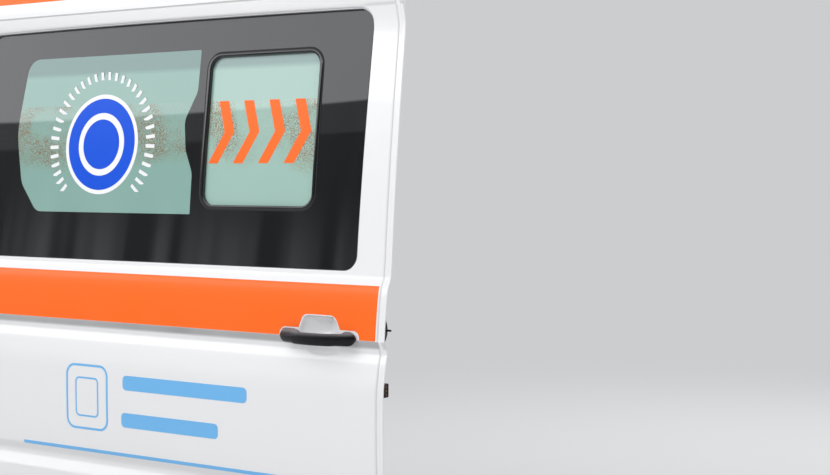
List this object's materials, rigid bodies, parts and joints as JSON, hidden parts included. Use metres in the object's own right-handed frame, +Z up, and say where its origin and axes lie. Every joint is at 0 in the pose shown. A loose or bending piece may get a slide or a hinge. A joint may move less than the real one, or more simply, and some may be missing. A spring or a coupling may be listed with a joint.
{
  "type": "ambulance sliding side door",
  "caption": "High-roofed van's right-hand sliding side door with a fixed window, sliding pane, handles, locks, and roller arms for its upper, middle and lower rails.",
  "frame": {"origin": "centre of the lower load roller, which carries the door on the lower rail", "axes": "+X towards the front of the vehicle, +Y inboard, +Z up"},
  "size_m": [1.622, 0.3187, 1.98],
  "materials": {
    "body_paint": "gloss white paint",
    "privacy_glass": "dark film with a clear field",
    "slider_glass": "pale green float glass",
    "black_frame": "black gloss frame",
    "rail_aluminium": "black anodised",
    "black_seal": "matt rubber",
    "black_fitting": "fine-grained black",
    "handle_black": "satin black",
    "lining_grey": "wipe-clean pale grey",
    "lever_chrome": "satin chrome",
    "zinc_steel": "zinc-plated",
    "black_steel": "black e-coat",
    "roller_nylon": "nylon tread",
    "contact_copper": "bare copper"
  },
  "bodies": {
    "door": {"outer_skin": "body_paint", "handle_cup": "body_paint", "inner_panel": "body_paint", "window_glass": "privacy_glass", "window_bond": "black_seal", "slider_frame": "black_frame", "slider_pane": "slider_glass", "slider_rails": "rail_aluminium", "slider_catch": "black_fitting", "window_trim": "lining_grey", "lower_lining": "lining_grey", "upper_lining": "lining_grey", "perimeter_seal": "black_seal", "bump_stops": "black_seal", "outer_grip": "handle_black", "grip_feet": "handle_black", "pull_handle": "black_fitting", "release_bezel": "black_fitting", "release_lever": "lever_chrome", "front_wedge": "black_fitting", "locating_pin": "zinc_steel", "contact_block": "black_fitting", "contact_pins": "contact_copper", "front_lock": "zinc_steel", "rear_lock": "zinc_steel", "rear_wedge": "black_fitting", "lower_arm": "black_steel", "upper_arm": "black_steel", "middle_bracket": "zinc_steel", "middle_pin": "zinc_steel"},
    "lower_carriage": {"lower_carriage": "zinc_steel"},
    "lower_load_roller": {"lower_load_roller": "roller_nylon"},
    "lower_guide_front": {"lower_guide_roller_front": "roller_nylon"},
    "lower_guide_rear": {"lower_guide_roller_rear": "roller_nylon"},
    "upper_roller": {"upper_roller": "roller_nylon"},
    "middle_arm": {"middle_arm": "zinc_steel"},
    "middle_load_roller": {"middle_load_roller": "roller_nylon"},
    "middle_guide_front": {"middle_guide_roller_front": "roller_nylon"},
    "middle_guide_rear": {"middle_guide_roller_rear": "roller_nylon"}
  },
  "joints": [
    {"name": "lower_carriage_swivel", "type": "hinge", "parent": "door", "child": "lower_carriage", "pos_m": [0, 0, 0], "axis": [0, 0, 1], "range_deg": [-35, 35]},
    {"name": "lower_load_roller_spin", "type": "hinge", "parent": "lower_carriage", "child": "lower_load_roller", "pos_m": [0, 0, 0], "axis": [0, 1, 0], "continuous": true},
    {"name": "lower_guide_front_spin", "type": "hinge", "parent": "lower_carriage", "child": "lower_guide_front", "pos_m": [0.04, 0, 0.0363], "axis": [0, 0, 1], "continuous": true},
    {"name": "lower_guide_rear_spin", "type": "hinge", "parent": "lower_carriage", "child": "lower_guide_rear", "pos_m": [-0.04, 0, 0.0363], "axis": [0, 0, 1], "continuous": true},
    {"name": "upper_roller_spin", "type": "hinge", "parent": "door", "child": "upper_roller", "pos_m": [0.054, -0.03, 1.8477], "axis": [0, 0, 1], "continuous": true},
    {"name": "middle_arm_swing", "type": "hinge", "parent": "door", "child": "middle_arm", "pos_m": [-1.31, -0.162, 0.74], "axis": [0, 0, -1], "range_deg": [-5, 55]},
    {"name": "middle_load_roller_spin", "type": "hinge", "parent": "middle_arm", "child": "middle_load_roller", "pos_m": [-1.44, -0.132, 0.731], "axis": [0, 1, 0], "continuous": true},
    {"name": "middle_guide_front_spin", "type": "hinge", "parent": "middle_arm", "child": "middle_guide_front", "pos_m": [-1.416, -0.132, 0.7738], "axis": [0, 0, 1], "continuous": true},
    {"name": "middle_guide_rear_spin", "type": "hinge", "parent": "middle_arm", "child": "middle_guide_rear", "pos_m": [-1.464, -0.132, 0.7738], "axis": [0, 0, 1], "continuous": true}
  ]
}
